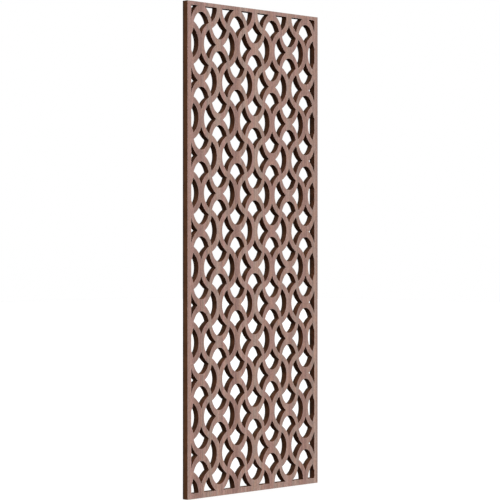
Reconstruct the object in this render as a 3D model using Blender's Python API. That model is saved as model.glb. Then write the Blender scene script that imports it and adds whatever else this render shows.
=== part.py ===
"""Fretwork wall panel: one flat board cut through in a pattern of curved, interlaced strands.

The front of the board faces -Y and its back lies in the plane Y = 0. The origin is on the back,
behind the crossing of strands nearest the board's middle. Lengths are in metres and +Z is up.
"""

import math

import bpy
from mathutils import Vector

NAME = "Fretwork wall panel"

# The board and its border
WIDTH = 0.6953
HEIGHT = 1.8129
THICKNESS = 0.0254
STILE_WIDTH = 0.019
TOP_RAIL_HEIGHT = 0.0143
BOTTOM_RAIL_LEAST = 0.014

# The lattice: strands cross at every second place of a grid with these steps
COLUMN_PITCH = 0.09284
ROW_PITCH = 0.13678
HELD_ROW = 7

# What the openings leave between them
CROSSING_WIDTH = 0.036
CROSSING_HEIGHT = 0.043
TWIN_STRAND_WIDTH = 0.0277
TWIN_STRAND_HEIGHT = 0.0644

# How far the openings' corners stay from the place where four strands meet
CRESCENT_CORNER_ASIDE = 0.0059
CRESCENT_CORNER_SHORT = 0.0137
DROP_CORNER_ASIDE = 0.0086
DROP_CORNER_SHORT = 0.0093

# How the sides of the openings curve
CRESCENT_FLANK_RADIUS = 0.087
DROP_SIDE_RADIUS = 0.0896
DROP_ARCH_HALF_HEIGHT = 0.0692

# Straight steps along each curve
CRESCENT_BACK_STEPS = 6
CRESCENT_FLANK_STEPS = 2
DROP_ARCH_STEPS = 8
DROP_SIDE_STEPS = 2
SHORTEST_EDGE = 0.0002

WOOD_COLOUR = (0.392, 0.251, 0.209, 1.0)
WOOD_ROUGHNESS = 0.55


def arc_points(start, end, radius, steps):
    """Points from start up to, but without, end. A positive radius turns left, a negative one right."""
    chord = end - start
    rise = math.sqrt(max(radius * radius - chord.length_squared / 4, 0.0))
    left = Vector((-chord.y, chord.x)).normalized()
    centre = (start + end) / 2 + left * math.copysign(rise, radius)
    first = start - centre
    turn = first.angle_signed(end - centre)
    points = []
    for step in range(steps):
        angle = -turn * step / steps
        cosine = math.cos(angle)
        sine = math.sin(angle)
        points.append(centre + Vector((first.x * cosine - first.y * sine, first.x * sine + first.y * cosine)))
    return points


def crescent_outline():
    """The opening to the right of a crossing, which is at (0, 0), counterclockwise."""
    tip = Vector((CROSSING_WIDTH / 2, 0))
    reach = COLUMN_PITCH - TWIN_STRAND_WIDTH / 2
    corner_x = COLUMN_PITCH / 2 + CRESCENT_CORNER_ASIDE
    corner_y = ROW_PITCH / 2 - CRESCENT_CORNER_SHORT
    low = Vector((corner_x, -corner_y))
    high = Vector((corner_x, corner_y))
    bulge = reach - corner_x
    back_radius = (corner_y**2 + bulge**2) / (2 * bulge)
    return (
        arc_points(tip, low, -CRESCENT_FLANK_RADIUS, CRESCENT_FLANK_STEPS)
        + arc_points(low, high, back_radius, CRESCENT_BACK_STEPS)
        + arc_points(high, tip, -CRESCENT_FLANK_RADIUS, CRESCENT_FLANK_STEPS)
    )


def drop_outline():
    """The opening below a crossing, which is at (0, 0), counterclockwise: an arch over a drawn-out point."""
    corner_x = COLUMN_PITCH / 2 - DROP_CORNER_ASIDE
    corner_y = DROP_CORNER_SHORT - ROW_PITCH / 2
    arch_centre_y = -CROSSING_HEIGHT / 2 - DROP_ARCH_HALF_HEIGHT
    half_span = math.acos((corner_y - arch_centre_y) / DROP_ARCH_HALF_HEIGHT)
    arch_half_width = corner_x / math.sin(half_span)
    point = Vector((0, TWIN_STRAND_HEIGHT / 2 - ROW_PITCH))
    arch = []
    for step in range(DROP_ARCH_STEPS + 1):
        angle = half_span * (1 - 2 * step / DROP_ARCH_STEPS)
        x = arch_half_width * math.sin(angle)
        y = arch_centre_y + DROP_ARCH_HALF_HEIGHT * math.cos(angle)
        arch.append(Vector((x, y)))
    return (
        arch[:-1]
        + arc_points(arch[-1], point, -DROP_SIDE_RADIUS, DROP_SIDE_STEPS)
        + arc_points(point, arch[0], -DROP_SIDE_RADIUS, DROP_SIDE_STEPS)
    )


def mirrored(outline, x_sign, y_sign):
    return [Vector((point.x * x_sign, point.y * y_sign)) for point in outline]


def cut_off(outline, axis, limit, side):
    """The part of the outline where side * coordinate is at most side * limit."""
    kept = []
    for index, point in enumerate(outline):
        before = outline[index - 1]
        outside = side * (point[axis] - limit) > 0
        outside_before = side * (before[axis] - limit) > 0
        if outside != outside_before:
            kept.append(before.lerp(point, (limit - before[axis]) / (point[axis] - before[axis])))
        if not outside:
            kept.append(point)
    return kept


def without_short_edges(outline):
    return [point for index, point in enumerate(outline) if (point - outline[index - 1]).length > SHORTEST_EDGE]


def crossings(rows):
    """The places where strands cross, row by row from the top rail's edge, with those behind the stiles."""
    far = math.ceil(WIDTH / 2 / COLUMN_PITCH) + 1
    for row in range(rows + 1):
        for column in range(-far, far + 1):
            if (row + column) % 2:
                yield Vector((column * COLUMN_PITCH, (HELD_ROW - row) * ROW_PITCH))


def opening_outlines(rows):
    """Every opening's outline, cut off where the border begins."""
    right = crescent_outline()
    below = drop_outline()
    shapes = (right, mirrored(right, -1, 1), below, mirrored(below, 1, -1))
    field_half_width = WIDTH / 2 - STILE_WIDTH
    field_top = HELD_ROW * ROW_PITCH
    field_bottom = field_top - rows * ROW_PITCH
    outlines = []
    for crossing in crossings(rows):
        for shape in shapes:
            outline = [point + crossing for point in shape]
            outline = cut_off(outline, 0, field_half_width, 1)
            outline = cut_off(outline, 0, -field_half_width, -1)
            outline = cut_off(outline, 1, field_top, 1)
            outline = cut_off(outline, 1, field_bottom, -1)
            outline = without_short_edges(outline)
            if len(outline) > 2:
                outlines.append(outline)
    return outlines


def add_loop(curve, outline):
    spline = curve.splines.new("POLY")
    spline.points.add(len(outline) - 1)
    for slot, point in zip(spline.points, outline):
        slot.co = (point.x, point.y, 0, 1)
    spline.use_cyclic_u = True


def wood():
    material = bpy.data.materials.new("wood")
    material.use_nodes = True
    shader = material.node_tree.nodes["Principled BSDF"]
    shader.inputs["Base Color"].default_value = WOOD_COLOUR
    shader.inputs["Roughness"].default_value = WOOD_ROUGHNESS
    shader.inputs["Metallic"].default_value = 0.0
    return material


def build_panel(collection):
    rows = int((HEIGHT - TOP_RAIL_HEIGHT - BOTTOM_RAIL_LEAST) / ROW_PITCH)
    top = HELD_ROW * ROW_PITCH + TOP_RAIL_HEIGHT
    bottom = top - HEIGHT
    half = WIDTH / 2
    curve = bpy.data.curves.new("panel", "CURVE")
    curve.dimensions = "2D"
    curve.fill_mode = "BOTH"
    curve.extrude = THICKNESS / 2
    board = [Vector((-half, bottom)), Vector((half, bottom)), Vector((half, top)), Vector((-half, top))]
    add_loop(curve, board)
    for outline in opening_outlines(rows):
        add_loop(curve, outline)
    curve.materials.append(wood())
    panel = bpy.data.objects.new("panel", curve)
    panel.rotation_euler = (math.radians(90), 0, 0)
    panel.location = (0, -THICKNESS / 2, 0)
    collection.objects.link(panel)


def main():
    for old in list(bpy.data.objects):
        bpy.data.objects.remove(old, do_unlink=True)
    collection = bpy.data.collections.new(NAME)
    bpy.context.scene.collection.children.link(collection)
    build_panel(collection)


main()
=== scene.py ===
"""Fretwork wall panel in stained wood, with eased edges, on a pale studio floor.

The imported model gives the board's box. The board is cut again inside it with smoother curves, its rims
are eased, and its faces and cut edges get their own wood finishes. Lengths are in metres.
"""

import math

import bpy
from bpy.props import FloatProperty, FloatVectorProperty, IntProperty, PointerProperty
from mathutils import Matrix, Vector


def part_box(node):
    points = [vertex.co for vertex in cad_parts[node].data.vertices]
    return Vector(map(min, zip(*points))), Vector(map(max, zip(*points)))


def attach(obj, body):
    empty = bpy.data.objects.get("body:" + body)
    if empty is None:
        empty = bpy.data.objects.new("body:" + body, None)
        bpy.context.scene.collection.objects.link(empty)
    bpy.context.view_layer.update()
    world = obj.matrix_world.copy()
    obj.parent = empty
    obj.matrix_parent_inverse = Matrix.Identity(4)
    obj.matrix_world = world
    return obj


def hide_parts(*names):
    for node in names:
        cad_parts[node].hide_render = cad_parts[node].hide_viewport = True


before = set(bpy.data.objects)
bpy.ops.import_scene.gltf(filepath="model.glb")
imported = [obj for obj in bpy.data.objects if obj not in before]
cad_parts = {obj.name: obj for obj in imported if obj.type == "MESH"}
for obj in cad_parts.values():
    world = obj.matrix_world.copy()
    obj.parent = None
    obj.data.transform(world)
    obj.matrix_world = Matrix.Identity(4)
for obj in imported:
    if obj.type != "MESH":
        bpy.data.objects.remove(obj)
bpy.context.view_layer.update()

bl_info = {
    "name": "Fretwork wall panel",
    "version": (1, 0, 0),
    "blender": (4, 5, 0),
    "location": "View3D > Sidebar > Fretwork",
    "description": "Cuts, eases and stains a fretwork board and sets up its studio",
    "category": "Add Mesh",
}

BOARD_LOW, BOARD_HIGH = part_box("panel")

# Points this near are merged, faces this level are joined, and a point this near a plane lies in it
MERGE_DISTANCE = 0.00001
LEVEL_ANGLE = math.radians(0.5)
FLATNESS = 0.000005

# A board with fewer faces has lost its openings
LEAST_FACES = 1000

# Corners narrower than this are blunted, and that takes at most this share of a side
NARROW_CORNER = math.radians(75)
MOST_OF_A_SIDE = 0.45

# Segments of the eased rims, and the bend up to which the walls are shaded as one curve
FRONT_SEGMENTS = 2
BACK_SEGMENTS = 1
SMOOTH_ANGLE = math.radians(20)

# How far a face's normal points along Y on the eased rims, and at least on what is stained
SLOPE_LEAST, SLOPE_MOST = 0.05, 0.995
STAINED_LEAST = 0.3

# Places of the three finishes in the board's list of materials; the sawn walls' finish is darkened with
# painted shade
STAINED_FACE, OUTER_EDGE, SHADED_SAWN_WALL = 0, 1, 2

# Patterns in the wood: steps per metre along X, Y and Z, levels of detail, and how strong the detail is
TONE = (48.0, 10.0, 0.3), 2.0, 0.5
STREAKS = (240.0, 20.0, 0.4), 3.0, 0.6
MOTTLE = (70.0, 10.0, 22.0), 2.0, 0.5
FLECKS = (230.0, 60.0, 190.0), 2.0, 0.5
FIBRES = (900.0, 90.0, 14.0), 3.0, 0.6
PORES = (1700.0, 200.0, 60.0), 2.0, 0.5
# The next pattern makes the paler rims uneven: partly rubbed stain, partly a painted edge highlight
WEAR_AND_HIGHLIGHT = (60.0, 60.0, 60.0), 3.0, 0.5
LAYER_WOBBLE = (45.0, 45.0, 45.0), 3.0, 0.5
CUT_FIBRES = (40.0, 900.0, 40.0), 3.0, 0.6
SCORCH = (30.0, 18.0, 30.0), 4.0, 0.5

# The values of a pattern between which it takes effect
NOISE_RANGE = 0.3, 0.7
TONE_RANGE = 0.36, 0.64
BAND_RANGE = 0.78, 0.98
AMBER_RANGE = 0.42, 0.72
PORE_RANGE = 0.60, 0.70
WEAR_AND_HIGHLIGHT_RANGE = 0.3, 0.6
WOBBLE_RANGE = 0.2, 0.8

# How far patterns lighten and darken the wood, how far other colours cover it, and how its roughness sways
STREAK_SHADE = 0.20
FLECK_SHADE = 0.13
FIBRE_SHADE = 0.06
CUT_FIBRE_SHADE = 0.25
MOST_AMBER = 0.6
MOST_PORE = 0.35
# The paler rim colour, for rubbed stain and a painted edge highlight, covers the wood at most and at least
# this far
MOST_WEAR_AND_HIGHLIGHT = 0.65
LEAST_WEAR_AND_HIGHLIGHT = 0.35 * MOST_WEAR_AND_HIGHLIGHT
FACE_ROUGHNESS_SWAY = 0.08
EDGE_ROUGHNESS_SWAY = 0.1

# The band in each leaf: a wave texture turns 20 radians a metre at scale 1, and wanders a little
WAVE_TURN = 20
BAND_WANDER = 0.3
BAND_DETAIL = 2.0
BAND_DETAIL_SCALE = 0.8

# Height of the relief in metres, and how strongly it shows
FIBRE_RELIEF = 0.00012, 0.5
PORE_RELIEF = 0.00015, 0.6
CUT_RELIEF = 0.0002, 0.6

# Where the layers of a cut edge begin and end, and how far they waver: 0 is the board's front, 1 its back
FRONT_LAYER = 0.06, 0.22
CORE_LAYER = 0.40, 0.58
BACK_LAYER = 0.90
LAYER_WAVER = 0.035

# Sockets of a Mix node that is set to colours
MIX_FACTOR, MIX_FIRST, MIX_SECOND, MIX_RESULT = 0, 6, 7, 2

WHITE = (1.0, 1.0, 1.0, 1.0)
QUARTER_TURN = math.radians(90)

# The stage: the floor lies a little under the board, and the sensor's width is in mm
FLOOR_GAP = 0.0005
FLOOR_ROUGHNESS = 0.9
SENSOR_WIDTH = 36.0
VIEW_DEPTH = 200.0


def length(name, description, default):
    """A size in metres that a user may change."""
    return FloatProperty(
        name=name,
        description=description,
        default=default,
        min=0.0,
        precision=5,
        unit="LENGTH",
        subtype="DISTANCE",
    )


def colour(name, description, red, green, blue):
    """A linear colour that a user may change."""
    return FloatVectorProperty(
        name=name,
        description=description,
        default=(red, green, blue, 1.0),
        size=4,
        min=0.0,
        max=1.0,
        subtype="COLOR",
    )


def share(name, description, default):
    """A share from 0 to 1 that a user may change."""
    return FloatProperty(
        name=name,
        description=description,
        default=default,
        min=0.0,
        max=1.0,
        subtype="FACTOR",
    )


def count(name, description, default):
    """A whole number that a user may change."""
    return IntProperty(name=name, description=description, default=default, min=1)


class FretworkSizes(bpy.types.PropertyGroup):
    """Sizes of the board, its lattice and its openings."""

    stile_width: length("Stile width", "Width of the plain border at the left and right", 0.019)
    top_rail: length("Top rail", "Height of the plain border at the top", 0.0143)
    least_bottom_rail: length("Least bottom rail", "The bottom border is at least this high", 0.014)
    column_pitch: length("Column pitch", "Sideways step of the lattice", 0.09284)
    row_pitch: length("Row pitch", "Upright step of the lattice", 0.13678)
    crossing_width: length("Crossing width", "Wood left between two crescents at a crossing", 0.036)
    crossing_height: length("Crossing height", "Wood left between two drops at a crossing", 0.043)
    twin_strand_width: length("Twin strand width", "Wood left between the backs of two crescents", 0.0277)
    twin_strand_height: length("Twin strand height", "Wood left between the points of two drops", 0.0644)
    crescent_corner_aside: length("Crescent corner aside", "How far its horns stand aside", 0.0059)
    crescent_corner_short: length("Crescent corner short", "How far its horns end below the half row", 0.0137)
    drop_corner_aside: length("Drop corner aside", "How far its shoulders stand aside", 0.0086)
    drop_corner_short: length("Drop corner short", "How far its shoulders lie above the half row", 0.0093)
    crescent_flank_radius: length("Crescent flank radius", "Radius of a crescent's two inner sides", 0.087)
    drop_side_radius: length("Drop side radius", "Radius of a drop's two drawn-in sides", 0.0896)
    drop_arch_half_height: length("Drop arch half height", "Upright half axis of a drop's arch", 0.0692)
    shortest_edge: length("Shortest edge", "Shorter straight pieces of an outline are merged", 0.0014)
    saw_kerf: length("Saw kerf", "Narrow corners of an opening end this wide", 0.0007)
    rim_band: length("Rim band", "Width of the rubbed band along every rim", 0.0028)
    # Along this band the rim is painted paler and greyer: partly rubbed stain, partly a painted edge
    # highlight
    eased_edge: length("Eased edge", "Size of the rounding on the front rims", 0.0003)
    back_chamfer: length("Back chamfer", "Size of the chamfer on the back rims", 0.0002)
    back_steps: count("Back steps", "Straight steps along a crescent's back", 14)
    flank_steps: count("Flank steps", "Straight steps along a crescent's inner side", 6)
    arch_steps: count("Arch steps", "Straight steps along a drop's arch", 16)
    side_steps: count("Side steps", "Straight steps along a drop's drawn-in side", 6)


class FretworkFinish(bpy.types.PropertyGroup):
    """Colours and gloss of the stained wood, with painted shade in the sawn walls' colours."""

    face_rosy: colour("Face, rosy", "The stain where it took warmer", 0.361, 0.208, 0.179)
    face_grey: colour("Face, grey", "The stain where it took greyer", 0.345, 0.239, 0.199)
    face_amber: colour("Face, amber", "Faint amber patches in the stain", 0.384, 0.220, 0.160)
    face_band: colour("Face, band", "The darker band in each leaf of veneer", 0.304, 0.174, 0.147)
    pore: colour("Pores", "Colour that gathered in the pores", 0.120, 0.070, 0.055)
    # Paler, greyer colour along every rim: partly stain rubbed thin, partly a painted edge highlight
    rim_wear_and_highlight: colour("Rubbed rim", "Stain rubbed thin and grey along the rims", 0.372, 0.280, 0.240)
    edge_front: colour("Outer edge, front", "Reddish front layer of the outer edges", 0.204, 0.078, 0.035)
    edge_core: colour("Outer edge, core", "Brown core of the outer edges", 0.206, 0.086, 0.038)
    edge_back: colour("Outer edge, back", "Dark back layer of the outer edges", 0.118, 0.065, 0.042)
    # The sawn walls take darker copies of the outer edge colours, most of all in the core: painted shade
    # inside the openings
    shaded_wall_front: colour("Sawn wall, front", "Reddish front layer in the openings", 0.174, 0.061, 0.031)
    shaded_wall_core: colour("Sawn wall, core", "Scorched core in the openings", 0.139, 0.065, 0.033)
    shaded_wall_back: colour("Sawn wall, back", "Dark back layer in the openings", 0.108, 0.056, 0.036)
    edge_scorching: share("Outer edge, scorching", "How unevenly the outer edges are darkened", 0.12)
    wall_scorching: share("Sawn wall, scorching", "How unevenly the saw scorched the openings", 0.32)
    leaf_width: length("Leaf width", "Width of each matched leaf of veneer", 0.1857)
    leaf_band_place: FloatProperty(
        name="Band place",
        description="Where the dark band of one leaf lies, from the board's middle",
        default=0.0785,
        precision=4,
        unit="LENGTH",
        subtype="DISTANCE",
    )
    face_roughness: share("Face roughness", "Roughness of the sanded, stained faces", 0.56)
    edge_roughness: share("Edge roughness", "Roughness of the cut edges", 0.85)
    face_gloss: share("Face gloss", "How much light the stained faces mirror", 0.18)
    edge_gloss: share("Edge gloss", "How much light the cut edges mirror", 0.06)


class FretworkStage(bpy.types.PropertyGroup):
    """Camera, floor and lights."""

    camera_place: FloatVectorProperty(
        name="Camera place",
        description="Where the camera stands",
        default=(-4.8955, -4.8674, 0.0654),
        subtype="XYZ",
        unit="LENGTH",
        precision=4,
    )
    camera_turn: FloatProperty(
        name="Camera turn",
        description="How far the level camera turns from facing the board",
        default=math.radians(-45.16),
        subtype="ANGLE",
    )
    lens: FloatProperty(
        name="Lens",
        description="Focal length for a 36 mm sensor, in mm",
        default=131.8,
        min=1.0,
    )
    floor_side: length("Floor side", "Side of the square floor", 40.0)
    floor_colour: colour("Floor", "How pale the floor is where light falls on it", 0.25, 0.25, 0.25)
    floor_glow: share("Floor glow", "White light from the floor itself, which hides shadows", 0.80)
    key_place: FloatVectorProperty(
        name="Key place",
        description="The front light comes from here, a little to the right and above",
        default=(1.95, -5.0, 1.56),
        subtype="XYZ",
        unit="LENGTH",
    )
    fill_place: FloatVectorProperty(
        name="Fill place",
        description="The weaker rear light comes from here, behind the board on its right",
        default=(2.6, 5.0, 0.3),
        subtype="XYZ",
        unit="LENGTH",
    )
    key_strength: FloatProperty(
        name="Key light",
        description="Strength of the front light",
        default=2.3,
        min=0.0,
    )
    light_softness: FloatProperty(
        name="Light softness",
        description="How wide each light looks from the board",
        default=math.radians(25),
        subtype="ANGLE",
    )
    fill_strength: FloatProperty(
        name="Rear fill",
        description="Strength of the rear light",
        default=1.2,
        min=0.0,
    )
    surround: share("Surround", "Brightness of the soft light at eye level", 0.32)
    surround_rise: FloatProperty(
        name="Surround rise",
        description="How much brighter the surround is straight above than at eye level",
        default=2.3,
        min=0.0,
    )


def deselect_all():
    """Leave nothing selected and nothing active."""
    bpy.ops.object.select_all(action="DESELECT")
    bpy.context.view_layer.objects.active = None


def pick(piece):
    """Make a piece the only one selected, and active."""
    deselect_all()
    piece.select_set(True)
    bpy.context.view_layer.objects.active = piece


def arc_points(start, end, radius, steps):
    """Points from start up to, but without, end. A positive radius turns left, a negative one right."""
    chord = end - start
    rise = math.sqrt(max(radius * radius - chord.length_squared / 4, 0.0))
    left = Vector((-chord.y, chord.x)).normalized()
    centre = (start + end) / 2 + left * math.copysign(rise, radius)
    first = start - centre
    turn = first.angle_signed(end - centre)
    points = []
    for step in range(steps):
        angle = -turn * step / steps
        cosine = math.cos(angle)
        sine = math.sin(angle)
        turned = Vector((first.x * cosine - first.y * sine, first.x * sine + first.y * cosine))
        points.append(centre + turned)
    return points


def crescent_outline(sizes):
    """The opening to the right of a crossing, which is at (0, 0), counterclockwise."""
    tip = Vector((sizes.crossing_width / 2, 0))
    reach = sizes.column_pitch - sizes.twin_strand_width / 2
    corner_x = sizes.column_pitch / 2 + sizes.crescent_corner_aside
    corner_y = sizes.row_pitch / 2 - sizes.crescent_corner_short
    low = Vector((corner_x, -corner_y))
    high = Vector((corner_x, corner_y))
    bulge = reach - corner_x
    back_radius = (corner_y**2 + bulge**2) / (2 * bulge)
    flank = -sizes.crescent_flank_radius
    return (
        arc_points(tip, low, flank, sizes.flank_steps)
        + arc_points(low, high, back_radius, sizes.back_steps)
        + arc_points(high, tip, flank, sizes.flank_steps)
    )


def drop_outline(sizes):
    """The opening below a crossing, which is at (0, 0): an arch over a drawn-out point."""
    corner_x = sizes.column_pitch / 2 - sizes.drop_corner_aside
    corner_y = sizes.drop_corner_short - sizes.row_pitch / 2
    half_height = sizes.drop_arch_half_height
    arch_centre_y = -sizes.crossing_height / 2 - half_height
    half_span = math.acos((corner_y - arch_centre_y) / half_height)
    half_width = corner_x / math.sin(half_span)
    point = Vector((0, sizes.twin_strand_height / 2 - sizes.row_pitch))
    arch = []
    for step in range(sizes.arch_steps + 1):
        angle = half_span * (1 - 2 * step / sizes.arch_steps)
        rise = arch_centre_y + half_height * math.cos(angle)
        arch.append(Vector((half_width * math.sin(angle), rise)))
    side = -sizes.drop_side_radius
    return (
        arch[:-1]
        + arc_points(arch[-1], point, side, sizes.side_steps)
        + arc_points(point, arch[0], side, sizes.side_steps)
    )


def mirrored(outline, x_sign, y_sign):
    """The outline turned over left to right or top to bottom."""
    return [Vector((point.x * x_sign, point.y * y_sign)) for point in outline]


def cut_off(outline, axis, limit, side):
    """The part of the outline where side * coordinate is at most side * limit."""
    kept = []
    for index, point in enumerate(outline):
        before = outline[index - 1]
        outside = side * (point[axis] - limit) > 0
        outside_before = side * (before[axis] - limit) > 0
        if outside != outside_before:
            kept.append(before.lerp(point, (limit - before[axis]) / (point[axis] - before[axis])))
        if not outside:
            kept.append(point)
    return kept


def merged_short_edges(outline, shortest):
    """The outline without points that lie closer than shortest to the one kept before them."""
    kept = [outline[0]] if outline else []
    for point in outline[1:]:
        if (point - kept[-1]).length > shortest:
            kept.append(point)
    if len(kept) > 2 and (kept[-1] - kept[0]).length <= shortest:
        kept.pop()
    return kept


def blunted(outline, width):
    """The outline with each narrow corner cut across where it is as wide as the saw's kerf."""
    kept = []
    for index, point in enumerate(outline):
        back = outline[index - 1] - point
        ahead = outline[(index + 1) % len(outline)] - point
        angle = back.angle(ahead)
        if angle > NARROW_CORNER:
            kept.append(point)
            continue
        longest = min(back.length, ahead.length) * MOST_OF_A_SIDE
        depth = min(width / 2 / math.sin(angle / 2), longest)
        kept.append(point + back.normalized() * depth)
        kept.append(point + ahead.normalized() * depth)
    return kept


def opening_outlines(sizes):
    """Every opening of the lattice, cut off where the border begins."""
    right = crescent_outline(sizes)
    below = drop_outline(sizes)
    shapes = (right, mirrored(right, -1, 1), below, mirrored(below, 1, -1))
    height = BOARD_HIGH.z - BOARD_LOW.z
    rows = int((height - sizes.top_rail - sizes.least_bottom_rail) / sizes.row_pitch)
    side_limit = BOARD_HIGH.x - sizes.stile_width
    field_top = BOARD_HIGH.z - sizes.top_rail
    field_bottom = field_top - rows * sizes.row_pitch
    far = math.ceil(BOARD_HIGH.x / sizes.column_pitch) + 1
    outlines = []
    for row in range(rows + 1):
        for column in range(-far, far + 1):
            if (row + column) % 2 == 0:
                continue
            crossing = Vector((column * sizes.column_pitch, field_top - row * sizes.row_pitch))
            for shape in shapes:
                outline = [point + crossing for point in shape]
                outline = cut_off(outline, 0, side_limit, 1)
                outline = cut_off(outline, 0, -side_limit, -1)
                outline = cut_off(outline, 1, field_top, 1)
                outline = cut_off(outline, 1, field_bottom, -1)
                outline = merged_short_edges(outline, sizes.shortest_edge)
                if len(outline) > 2:
                    outlines.append(blunted(outline, sizes.saw_kerf))
    return outlines


def draw_loop(curve, outline):
    """One closed line of straight pieces on a flat curve."""
    spline = curve.splines.new("POLY")
    spline.points.add(len(outline) - 1)
    for slot, point in zip(spline.points, outline):
        slot.co = (point.x, point.y, 0, 1)
    spline.use_cyclic_u = True


def sawn_board(name, sizes):
    """The board as a flat filled curve of its true thickness, made a mesh and stood up in its place."""
    thickness = BOARD_HIGH.y - BOARD_LOW.y
    deselect_all()
    curve = bpy.data.curves.new(name, "CURVE")
    curve.dimensions = "2D"
    curve.fill_mode = "BOTH"
    curve.extrude = thickness / 2
    corners = ((BOARD_LOW.x, BOARD_LOW.z), (BOARD_HIGH.x, BOARD_LOW.z))
    corners += ((BOARD_HIGH.x, BOARD_HIGH.z), (BOARD_LOW.x, BOARD_HIGH.z))
    draw_loop(curve, [Vector(corner) for corner in corners])
    for outline in opening_outlines(sizes):
        draw_loop(curve, outline)
    board = bpy.data.objects.new(name, curve)
    bpy.context.scene.collection.objects.link(board)
    pick(board)
    bpy.ops.object.convert(target="MESH")
    board = bpy.context.view_layer.objects.active
    board.rotation_euler = (QUARTER_TURN, 0, 0)
    board.location = (0, (BOARD_LOW.y + BOARD_HIGH.y) / 2, 0)
    bpy.ops.object.transform_apply(location=True, rotation=True, scale=True)
    return board


def clean_mesh():
    """Join the active piece's walls and faces, turn them outwards and clear faces without area."""
    bpy.ops.object.mode_set(mode="EDIT")
    bpy.ops.mesh.select_all(action="SELECT")
    bpy.ops.mesh.remove_doubles(threshold=MERGE_DISTANCE)
    bpy.ops.mesh.normals_make_consistent(inside=False)
    bpy.ops.mesh.dissolve_degenerate(threshold=MERGE_DISTANCE)
    bpy.ops.mesh.select_all(action="SELECT")
    bpy.ops.mesh.dissolve_limited(angle_limit=LEVEL_ANGLE, use_dissolve_boundaries=False)
    bpy.ops.mesh.select_all(action="SELECT")
    bpy.ops.mesh.dissolve_degenerate(threshold=MERGE_DISTANCE)
    bpy.ops.object.mode_set(mode="OBJECT")


def unselect_mesh(mesh):
    """Leave no point, edge or face of a mesh selected, in object mode."""
    for parts in (mesh.vertices, mesh.edges, mesh.polygons):
        parts.foreach_set("select", [False] * len(parts))


def in_plane(mesh, plane):
    """For every point of a mesh, whether it lies in a plane of Y."""
    return [abs(vertex.co.y - plane) < FLATNESS for vertex in mesh.vertices]


def inset_face(board, plane, band):
    """Set a band off along every rim of the face in a plane of Y, and fill what is inside afresh."""
    mesh = board.data
    flat = in_plane(mesh, plane)
    unselect_mesh(mesh)
    for face in mesh.polygons:
        face.select = all(flat[index] for index in face.vertices)
    bpy.context.tool_settings.mesh_select_mode = (False, False, True)
    bpy.ops.object.mode_set(mode="EDIT")
    bpy.ops.mesh.inset(thickness=band, depth=0.0, use_boundary=True, use_even_offset=True)
    bpy.ops.mesh.delete(type="FACE")
    bpy.ops.mesh.select_mode(type="EDGE")
    bpy.ops.mesh.select_non_manifold(
        extend=False,
        use_wire=False,
        use_multi_face=False,
        use_non_contiguous=False,
    )
    bpy.ops.mesh.fill(use_beauty=True)
    bpy.ops.object.mode_set(mode="OBJECT")


def ease_rims(board, plane, size, segments):
    """Round off every edge between the face in a plane of Y and the walls."""
    mesh = board.data
    flat = in_plane(mesh, plane)
    rim_points = set()
    for edge in mesh.edges:
        first, second = edge.vertices
        if flat[first] != flat[second]:
            rim_points.add(first if flat[first] else second)
    unselect_mesh(mesh)
    for edge in mesh.edges:
        edge.select = rim_points.issuperset(edge.vertices)
    bpy.context.tool_settings.mesh_select_mode = (False, True, False)
    bpy.ops.object.mode_set(mode="EDIT")
    bpy.ops.mesh.bevel(offset=size, segments=segments, clamp_overlap=False)
    bpy.ops.object.mode_set(mode="OBJECT")


def mark_worn_highlit_rims(board):
    """Store on every point whether it lies on a rim, which is painted paler for rubbed stain and an edge
    highlight: 1 on a rim, 0 elsewhere.
    """
    mesh = board.data
    rim_wear_and_highlight = mesh.attributes.new("rim_wear_and_highlight", "FLOAT", "POINT")
    on_slope = set()
    for face in mesh.polygons:
        if SLOPE_LEAST < abs(face.normal.y) < SLOPE_MOST:
            on_slope.update(face.vertices)
    for index, item in enumerate(rim_wear_and_highlight.data):
        item.value = 1.0 if index in on_slope else 0.0


def add_node(tree, kind, **settings):
    """A new node with its settings made."""
    node = tree.nodes.new(kind)
    for name, value in settings.items():
        setattr(node, name, value)
    return node


def new_wood(name, roughness, gloss):
    """An empty wood material: its node tree, its shader and the board's own coordinates."""
    material = bpy.data.materials.new(name)
    material.use_nodes = True
    tree = material.node_tree
    shader = tree.nodes["Principled BSDF"]
    shader.inputs["Roughness"].default_value = roughness
    shader.inputs["Specular IOR Level"].default_value = gloss
    place = add_node(tree, "ShaderNodeTexCoord")
    return material, tree, shader, place.outputs["Object"]


def noise(tree, place, pattern):
    """The noise of one of the patterns in the wood."""
    steps, detail, strength = pattern
    mapping = add_node(tree, "ShaderNodeMapping")
    mapping.inputs["Scale"].default_value = steps
    texture = add_node(tree, "ShaderNodeTexNoise")
    texture.inputs["Scale"].default_value = 1.0
    texture.inputs["Detail"].default_value = detail
    texture.inputs["Roughness"].default_value = strength
    tree.links.new(place, mapping.inputs["Vector"])
    tree.links.new(mapping.outputs["Vector"], texture.inputs["Vector"])
    return texture.outputs["Fac"]


def spread(tree, value, reach, to_low=0.0, to_high=1.0):
    """Map a value from the ends of its reach to to_low and to_high, softly at both ends."""
    low, high = reach
    node = add_node(tree, "ShaderNodeMapRange", interpolation_type="SMOOTHSTEP")
    node.inputs["From Min"].default_value = low
    node.inputs["From Max"].default_value = high
    node.inputs["To Min"].default_value = to_low
    node.inputs["To Max"].default_value = to_high
    tree.links.new(value, node.inputs["Value"])
    return node.outputs["Result"]


def blend_colours(tree, factor, first, second, kind="MIX"):
    """Mix two colours, each a socket or a fixed colour, by a factor, a socket or a number."""
    node = add_node(tree, "ShaderNodeMix", data_type="RGBA", blend_type=kind, clamp_factor=True)
    for number, value in ((MIX_FACTOR, factor), (MIX_FIRST, first), (MIX_SECOND, second)):
        if isinstance(value, bpy.types.NodeSocket):
            tree.links.new(value, node.inputs[number])
        else:
            node.inputs[number].default_value = value
    return node.outputs[MIX_RESULT]


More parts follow.
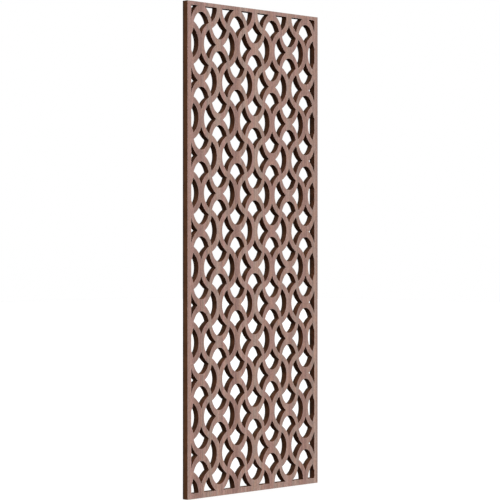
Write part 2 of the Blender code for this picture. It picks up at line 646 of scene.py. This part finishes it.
def times(tree, first, second):
    """The product of two values."""
    node = add_node(tree, "ShaderNodeMath", operation="MULTIPLY")
    tree.links.new(first, node.inputs[0])
    tree.links.new(second, node.inputs[1])
    return node.outputs[0]


def vary(tree, pattern, amount, wood):
    """Lighten and darken a colour by up to a share, as a pattern rises and falls."""
    shade = spread(tree, pattern, NOISE_RANGE, 1 - amount, 1 + amount)
    grey = add_node(tree, "ShaderNodeCombineColor")
    for name in ("Red", "Green", "Blue"):
        tree.links.new(shade, grey.inputs[name])
    return blend_colours(tree, 1.0, wood, grey.outputs["Color"], "MULTIPLY")


def vary_roughness(tree, shader, pattern, roughness, sway):
    """Let the roughness rise and fall with a pattern."""
    uneven = spread(tree, pattern, NOISE_RANGE, roughness - sway, roughness + sway)
    tree.links.new(uneven, shader.inputs["Roughness"])


def add_bump(tree, shader, height, relief, below=None):
    """Raise the surface by a height; returns the normal, to stack one bump on another."""
    bump = add_node(tree, "ShaderNodeBump")
    distance, strength = relief
    bump.inputs["Distance"].default_value = distance
    bump.inputs["Strength"].default_value = strength
    tree.links.new(height, bump.inputs["Height"])
    if below is not None:
        tree.links.new(below, bump.inputs["Normal"])
    tree.links.new(bump.outputs["Normal"], shader.inputs["Normal"])
    return bump.outputs["Normal"]


def leaf_band(tree, place, finish):
    """How far a point lies in the dark band that each matched leaf of veneer repeats, from 0 to 1."""
    wave = add_node(tree, "ShaderNodeTexWave", wave_type="BANDS", bands_direction="X", wave_profile="SIN")
    turns = 2 * math.pi / finish.leaf_width
    wave.inputs["Scale"].default_value = turns / WAVE_TURN
    phase = (math.pi - turns * finish.leaf_band_place) % (2 * math.pi)
    wave.inputs["Phase Offset"].default_value = phase
    wave.inputs["Distortion"].default_value = BAND_WANDER
    wave.inputs["Detail"].default_value = BAND_DETAIL
    wave.inputs["Detail Scale"].default_value = BAND_DETAIL_SCALE
    tree.links.new(place, wave.inputs["Vector"])
    return spread(tree, wave.outputs["Fac"], BAND_RANGE)


def worn_highlit_rims(tree, place):
    """How far a point takes the paler rim colour, unevenly along the rims: partly stain rubbed thin, partly a
    painted edge highlight.
    """
    rim = add_node(tree, "ShaderNodeAttribute", attribute_name="rim_wear_and_highlight")
    wear_and_highlight = spread(tree, noise(tree, place, WEAR_AND_HIGHLIGHT), WEAR_AND_HIGHLIGHT_RANGE, LEAST_WEAR_AND_HIGHLIGHT, MOST_WEAR_AND_HIGHLIGHT)
    return times(tree, wear_and_highlight, rim.outputs["Fac"])


def stained_face(finish):
    """The sanded, stained faces: upright grain in matched leaves, flecks, pores, and rims painted paler for
    rubbed stain and an edge highlight.
    """
    material, tree, shader, place = new_wood("stained_face", finish.face_roughness, finish.face_gloss)
    streaks = noise(tree, place, STREAKS)
    fibres = noise(tree, place, FIBRES)
    pores = noise(tree, place, PORES)
    tone = spread(tree, noise(tree, place, TONE), TONE_RANGE)
    wood = blend_colours(tree, tone, tuple(finish.face_rosy), tuple(finish.face_grey))
    wood = blend_colours(tree, leaf_band(tree, place, finish), wood, tuple(finish.face_band))
    amber = spread(tree, noise(tree, place, MOTTLE), AMBER_RANGE, 0.0, MOST_AMBER)
    wood = blend_colours(tree, amber, wood, tuple(finish.face_amber))
    wood = vary(tree, streaks, STREAK_SHADE, wood)
    wood = vary(tree, noise(tree, place, FLECKS), FLECK_SHADE, wood)
    wood = vary(tree, fibres, FIBRE_SHADE, wood)
    dark_pore = spread(tree, pores, PORE_RANGE, 0.0, MOST_PORE)
    wood = blend_colours(tree, dark_pore, wood, tuple(finish.pore))
    # Rims painted paler and greyer: rubbed stain and a painted edge highlight
    wood = blend_colours(tree, worn_highlit_rims(tree, place), wood, tuple(finish.rim_wear_and_highlight))
    tree.links.new(wood, shader.inputs["Base Color"])
    vary_roughness(tree, shader, streaks, finish.face_roughness, FACE_ROUGHNESS_SWAY)
    below = add_bump(tree, shader, fibres, FIBRE_RELIEF)
    open_pore = spread(tree, pores, PORE_RANGE, 1.0, 0.0)
    add_bump(tree, shader, open_pore, PORE_RELIEF, below)
    return material


def depth_in_board(tree, place):
    """How deep a point lies in the board, from 0 at the front to 1 at the back, wavering a little."""
    axes = add_node(tree, "ShaderNodeSeparateXYZ")
    tree.links.new(place, axes.inputs["Vector"])
    depth = add_node(tree, "ShaderNodeMapRange")
    depth.inputs["From Min"].default_value = BOARD_LOW.y
    depth.inputs["From Max"].default_value = BOARD_HIGH.y
    tree.links.new(axes.outputs["Y"], depth.inputs["Value"])
    wobble = noise(tree, place, LAYER_WOBBLE)
    wobble = spread(tree, wobble, WOBBLE_RANGE, -LAYER_WAVER, LAYER_WAVER)
    uneven = add_node(tree, "ShaderNodeMath", operation="ADD")
    tree.links.new(depth.outputs["Result"], uneven.inputs[0])
    tree.links.new(wobble, uneven.inputs[1])
    return uneven.outputs[0]


def cut_edge(name, finish, scorching, front, core, back):
    """Wood cut across its thickness: a reddish front layer, a brown core and a dark back layer."""
    material, tree, shader, place = new_wood(name, finish.edge_roughness, finish.edge_gloss)
    layers = add_node(tree, "ShaderNodeValToRGB")
    ramp = layers.color_ramp
    ramp.interpolation = "EASE"
    ramp.elements[0].position = FRONT_LAYER[0]
    ramp.elements[0].color = tuple(front)
    ramp.elements[1].position = BACK_LAYER
    ramp.elements[1].color = tuple(back)
    between = ((FRONT_LAYER[1], front), (CORE_LAYER[0], core), (CORE_LAYER[1], core))
    for position, layer_colour in between:
        ramp.elements.new(position).color = tuple(layer_colour)
    tree.links.new(depth_in_board(tree, place), layers.inputs["Fac"])
    fibres = noise(tree, place, CUT_FIBRES)
    wood = vary(tree, fibres, CUT_FIBRE_SHADE, layers.outputs["Color"])
    wood = vary(tree, noise(tree, place, SCORCH), scorching, wood)
    tree.links.new(wood, shader.inputs["Base Color"])
    vary_roughness(tree, shader, fibres, finish.edge_roughness, EDGE_ROUGHNESS_SWAY)
    add_bump(tree, shader, fibres, CUT_RELIEF)
    return material


def on_outline(point):
    """Whether a point lies on one of the board's four outer edges."""
    aside = min(point.x - BOARD_LOW.x, BOARD_HIGH.x - point.x)
    upright = min(point.z - BOARD_LOW.z, BOARD_HIGH.z - point.z)
    return min(aside, upright) < FLATNESS


class FRETWORK_OT_cut_board(bpy.types.Operator):
    """Saw the fretwork board, ease its rims and smooth its curved walls"""

    bl_idname = "fretwork.cut_board"
    bl_label = "Cut the board"
    bl_options = {"REGISTER", "UNDO"}

    def execute(self, context):
        sizes = context.scene.fretwork_sizes
        board = sawn_board("fretwork_board", sizes)
        clean_mesh()
        inset_face(board, BOARD_LOW.y, sizes.rim_band)
        ease_rims(board, BOARD_LOW.y, sizes.eased_edge, FRONT_SEGMENTS)
        inset_face(board, BOARD_HIGH.y, sizes.rim_band)
        ease_rims(board, BOARD_HIGH.y, sizes.back_chamfer, BACK_SEGMENTS)
        mark_worn_highlit_rims(board)
        pick(board)
        bpy.ops.object.shade_smooth_by_angle(angle=SMOOTH_ANGLE)
        if len(board.data.polygons) < LEAST_FACES:
            raise RuntimeError("the board came out without its openings")
        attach(board, "root")
        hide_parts("panel")
        return {"FINISHED"}


class FRETWORK_OT_stain_board(bpy.types.Operator):
    """Stain the faces and the cut edges of the board, with painted shade on the sawn walls"""

    bl_idname = "fretwork.stain_board"
    bl_label = "Stain the board"
    bl_options = {"REGISTER", "UNDO"}

    def execute(self, context):
        board = bpy.data.objects.get("fretwork_board")
        if board is None:
            raise RuntimeError("cut the board first")
        finish = context.scene.fretwork_finish
        board.data.materials.clear()
        board.data.materials.append(stained_face(finish))
        outer = (finish.edge_front, finish.edge_core, finish.edge_back)
        shaded_sawn = (finish.shaded_wall_front, finish.shaded_wall_core, finish.shaded_wall_back)
        board.data.materials.append(cut_edge("outer_edge", finish, finish.edge_scorching, *outer))
        # The sawn walls get the shaded copies of the edge colours: painted shade in the openings
        board.data.materials.append(cut_edge("shaded_sawn_wall", finish, finish.wall_scorching, *shaded_sawn))
        for face in board.data.polygons:
            if abs(face.normal.y) > STAINED_LEAST:
                face.material_index = STAINED_FACE
            elif on_outline(face.center):
                face.material_index = OUTER_EDGE
            else:
                face.material_index = SHADED_SAWN_WALL
        return {"FINISHED"}


class FRETWORK_OT_set_stage(bpy.types.Operator):
    """Set up the pale floor, the soft lights and the camera"""

    bl_idname = "fretwork.set_stage"
    bl_label = "Set the stage"
    bl_options = {"REGISTER", "UNDO"}

    def execute(self, context):
        stage = context.scene.fretwork_stage
        lay_floor(stage)
        hang_light("key_light", stage.key_place, stage.key_strength, stage.light_softness)
        hang_light("rear_fill", stage.fill_place, stage.fill_strength, stage.light_softness)
        set_surround(context.scene, stage)
        place_camera(context.scene, stage)
        return {"FINISHED"}


def lay_floor(stage):
    """A plain pale floor under the board, bright enough to read as white."""
    deselect_all()
    bpy.ops.mesh.primitive_plane_add(size=stage.floor_side, location=(0, 0, BOARD_LOW.z - FLOOR_GAP))
    floor = bpy.context.view_layer.objects.active
    floor.name = "floor"
    bpy.ops.object.transform_apply(location=True, rotation=True, scale=True)
    material = bpy.data.materials.new("pale_floor")
    material.use_nodes = True
    shader = material.node_tree.nodes["Principled BSDF"]
    shader.inputs["Base Color"].default_value = tuple(stage.floor_colour)
    shader.inputs["Roughness"].default_value = FLOOR_ROUGHNESS
    shader.inputs["Emission Color"].default_value = WHITE
    shader.inputs["Emission Strength"].default_value = stage.floor_glow
    floor.data.materials.append(material)
    floor.visible_diffuse = False
    floor.visible_glossy = False


def hang_light(name, place, strength, softness):
    """A broad, soft light far off, aimed at the middle of the board."""
    deselect_all()
    turn = (-Vector(place)).to_track_quat("-Z", "Y").to_euler()
    bpy.ops.object.light_add(type="SUN", location=place, rotation=turn)
    light = bpy.context.view_layer.objects.active
    light.name = name
    light.data.energy = strength
    light.data.angle = softness


def set_surround(scene, stage):
    """White behind all that the camera sees; for lighting, an even light that is brighter above."""
    world = bpy.data.worlds.new("studio")
    scene.world = world
    world.use_nodes = True
    tree = world.node_tree
    soft = tree.nodes["Background"]
    soft.inputs["Color"].default_value = WHITE
    direction = add_node(tree, "ShaderNodeTexCoord")
    axes = add_node(tree, "ShaderNodeSeparateXYZ")
    tree.links.new(direction.outputs["Generated"], axes.inputs["Vector"])
    rise = add_node(tree, "ShaderNodeMapRange")
    rise.inputs["From Min"].default_value = -1.0 / stage.surround_rise
    rise.inputs["From Max"].default_value = 1.0
    rise.inputs["To Min"].default_value = 0.0
    rise.inputs["To Max"].default_value = stage.surround * (1.0 + stage.surround_rise)
    tree.links.new(axes.outputs["Z"], rise.inputs["Value"])
    tree.links.new(rise.outputs["Result"], soft.inputs["Strength"])
    white = add_node(tree, "ShaderNodeBackground")
    white.inputs["Color"].default_value = WHITE
    seen = add_node(tree, "ShaderNodeLightPath")
    mix = add_node(tree, "ShaderNodeMixShader")
    tree.links.new(seen.outputs["Is Camera Ray"], mix.inputs[0])
    tree.links.new(soft.outputs[0], mix.inputs[1])
    tree.links.new(white.outputs[0], mix.inputs[2])
    tree.links.new(mix.outputs[0], tree.nodes["World Output"].inputs["Surface"])
    scene.view_settings.view_transform = "Standard"
    scene.view_settings.look = "None"


def place_camera(scene, stage):
    """A level camera at the photograph's place."""
    deselect_all()
    level = (QUARTER_TURN, 0, stage.camera_turn)
    bpy.ops.object.camera_add(location=stage.camera_place, rotation=level)
    camera = bpy.context.view_layer.objects.active
    camera.name = "camera"
    camera.data.sensor_fit = "HORIZONTAL"
    camera.data.sensor_width = SENSOR_WIDTH
    camera.data.lens = stage.lens
    camera.data.clip_end = VIEW_DEPTH
    scene.camera = camera


class FRETWORK_PT_sidebar(bpy.types.Panel):
    """Lists the steps that make the fretwork panel, and the sizes and colours they use"""

    bl_idname = "FRETWORK_PT_sidebar"
    bl_label = "Fretwork wall panel"
    bl_space_type = "VIEW_3D"
    bl_region_type = "UI"
    bl_category = "Fretwork"

    def draw(self, context):
        layout = self.layout
        for step in STEPS:
            layout.operator(step.bl_idname)
        scene = context.scene
        for group in (scene.fretwork_sizes, scene.fretwork_finish, scene.fretwork_stage):
            box = layout.box()
            for name in group.__annotations__:
                box.prop(group, name)


STEPS = (FRETWORK_OT_cut_board, FRETWORK_OT_stain_board, FRETWORK_OT_set_stage)
GROUPS = (FretworkSizes, FretworkFinish, FretworkStage)


def register():
    for item in GROUPS + STEPS + (FRETWORK_PT_sidebar,):
        bpy.utils.register_class(item)
    bpy.types.Scene.fretwork_sizes = PointerProperty(type=FretworkSizes)
    bpy.types.Scene.fretwork_finish = PointerProperty(type=FretworkFinish)
    bpy.types.Scene.fretwork_stage = PointerProperty(type=FretworkStage)


def unregister():
    del bpy.types.Scene.fretwork_stage
    del bpy.types.Scene.fretwork_finish
    del bpy.types.Scene.fretwork_sizes
    for item in reversed(GROUPS + STEPS + (FRETWORK_PT_sidebar,)):
        bpy.utils.unregister_class(item)


def main():
    register()
    bpy.ops.fretwork.cut_board()
    bpy.ops.fretwork.stain_board()
    bpy.ops.fretwork.set_stage()


if __name__ == "__main__":
    main()
